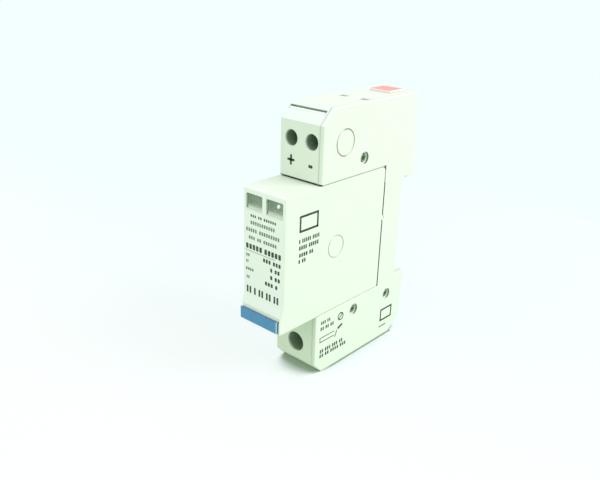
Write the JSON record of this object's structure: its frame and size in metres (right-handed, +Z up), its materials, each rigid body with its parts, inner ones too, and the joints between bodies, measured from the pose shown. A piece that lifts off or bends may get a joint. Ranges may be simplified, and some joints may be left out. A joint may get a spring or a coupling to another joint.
{
  "type": "din rail surge arrester",
  "caption": "Pluggable surge arrester for a 35 mm rail, one module wide, with rising-cage terminals, a pull-out protection plug with status windows, and a sprung rail clip.",
  "frame": {"origin": "middle of the flat face that seats on the mounting rail, on the rail's centre line", "axes": "+X along the rail towards the side with the pin recesses, +Y back into the rail, so the front of the plug looks along -Y, +Z up along the module"},
  "size_m": [0.0176, 0.0686, 0.0908],
  "materials": {
    "housing_plastic": "light grey, fine matt",
    "insulator_plastic": "grey, matt",
    "clip_plastic": "red, satin",
    "strip_plastic": "blue, satin",
    "clear_plastic": "clear, polished",
    "lamp_plastic": "milky light guide",
    "shutter_plastic": "dark grey, matt",
    "varistor_coating": "blue coated ceramic",
    "tube_ceramic": "white ceramic with metal caps",
    "board_laminate": "green laminate",
    "tinned_copper": "tinned copper alloy",
    "zinc_steel": "zinc plated",
    "spring_steel": "bright drawn wire"
  },
  "bodies": {
    "base": {"base_tray": "housing_plastic", "base_cover": "housing_plastic", "terminal_partition": "insulator_plastic", "contact_positive": "tinned_copper", "contact_negative": "tinned_copper", "contact_earth": "tinned_copper", "clip_spring": "spring_steel"},
    "rail_clip": {"rail_clip": "clip_plastic"},
    "screw_positive": {"terminal_screw_positive": "zinc_steel"},
    "screw_negative": {"terminal_screw_negative": "zinc_steel"},
    "screw_earth": {"terminal_screw_earth": "zinc_steel"},
    "cage_positive": {"clamp_cage_positive": "zinc_steel"},
    "cage_negative": {"clamp_cage_negative": "zinc_steel"},
    "cage_earth": {"clamp_cage_earth": "zinc_steel"},
    "plug": {"plug_casing": "housing_plastic", "plug_base_plate": "insulator_plastic", "window_lens": "clear_plastic", "accent_strip": "strip_plastic", "indicator_board": "board_laminate", "status_lamp": "lamp_plastic", "flag_spring_positive": "spring_steel", "flag_spring_negative": "spring_steel", "varistor_positive": "varistor_coating", "varistor_negative": "varistor_coating", "common_plate": "tinned_copper", "discharge_tube": "tube_ceramic", "blade_positive": "tinned_copper", "blade_negative": "tinned_copper", "blade_earth": "tinned_copper", "release_arm_positive": "tinned_copper", "release_arm_negative": "tinned_copper"},
    "flag_positive": {"flag_positive": "shutter_plastic"},
    "flag_negative": {"flag_negative": "shutter_plastic"}
  },
  "joints": [
    {"name": "plug_slide", "type": "slide", "parent": "base", "child": "plug", "axis": [0, -1, 0], "range_m": [0, 0.045]},
    {"name": "clip_slide", "type": "slide", "parent": "base", "child": "rail_clip", "axis": [0, 0, 1], "range_m": [0, 0.0035], "stiffness_N_per_m": 500, "springref_m": -0.002, "deforming": ["clip_spring"]},
    {"name": "screw_turn_positive", "type": "hinge", "parent": "base", "child": "screw_positive", "pos_m": [-0.00415, -0.0317, 0.03765], "axis": [0, 1, 0], "range_deg": [0, 2160]},
    {"name": "screw_turn_negative", "type": "hinge", "parent": "base", "child": "screw_negative", "pos_m": [0.00415, -0.0317, 0.03765], "axis": [0, 1, 0], "range_deg": [0, 2160]},
    {"name": "screw_turn_earth", "type": "hinge", "parent": "base", "child": "screw_earth", "pos_m": [0, -0.0315, -0.03215], "axis": [0, 1, 0], "range_deg": [0, 1620]},
    {"name": "cage_slide_positive", "type": "slide", "parent": "base", "child": "cage_positive", "axis": [0, -1, 0], "range_m": [0, 0.0036]},
    {"name": "cage_slide_negative", "type": "slide", "parent": "base", "child": "cage_negative", "axis": [0, -1, 0], "range_m": [0, 0.0036]},
    {"name": "cage_slide_earth", "type": "slide", "parent": "base", "child": "cage_earth", "axis": [0, -1, 0], "range_m": [0, 0.0036]},
    {"name": "flag_slide_positive", "type": "slide", "parent": "plug", "child": "flag_positive", "axis": [0, 0, -1], "range_m": [0, 0.005], "deforming": ["flag_spring_positive"]},
    {"name": "flag_slide_negative", "type": "slide", "parent": "plug", "child": "flag_negative", "axis": [0, 0, -1], "range_m": [0, 0.005], "deforming": ["flag_spring_negative"]}
  ],
  "couplings": [
    {"joint": "screw_turn_positive", "follows": "cage_slide_positive", "rad_per_m": 10472},
    {"joint": "screw_turn_negative", "follows": "cage_slide_negative", "rad_per_m": 10472},
    {"joint": "screw_turn_earth", "follows": "cage_slide_earth", "rad_per_m": 7853.9}
  ]
}
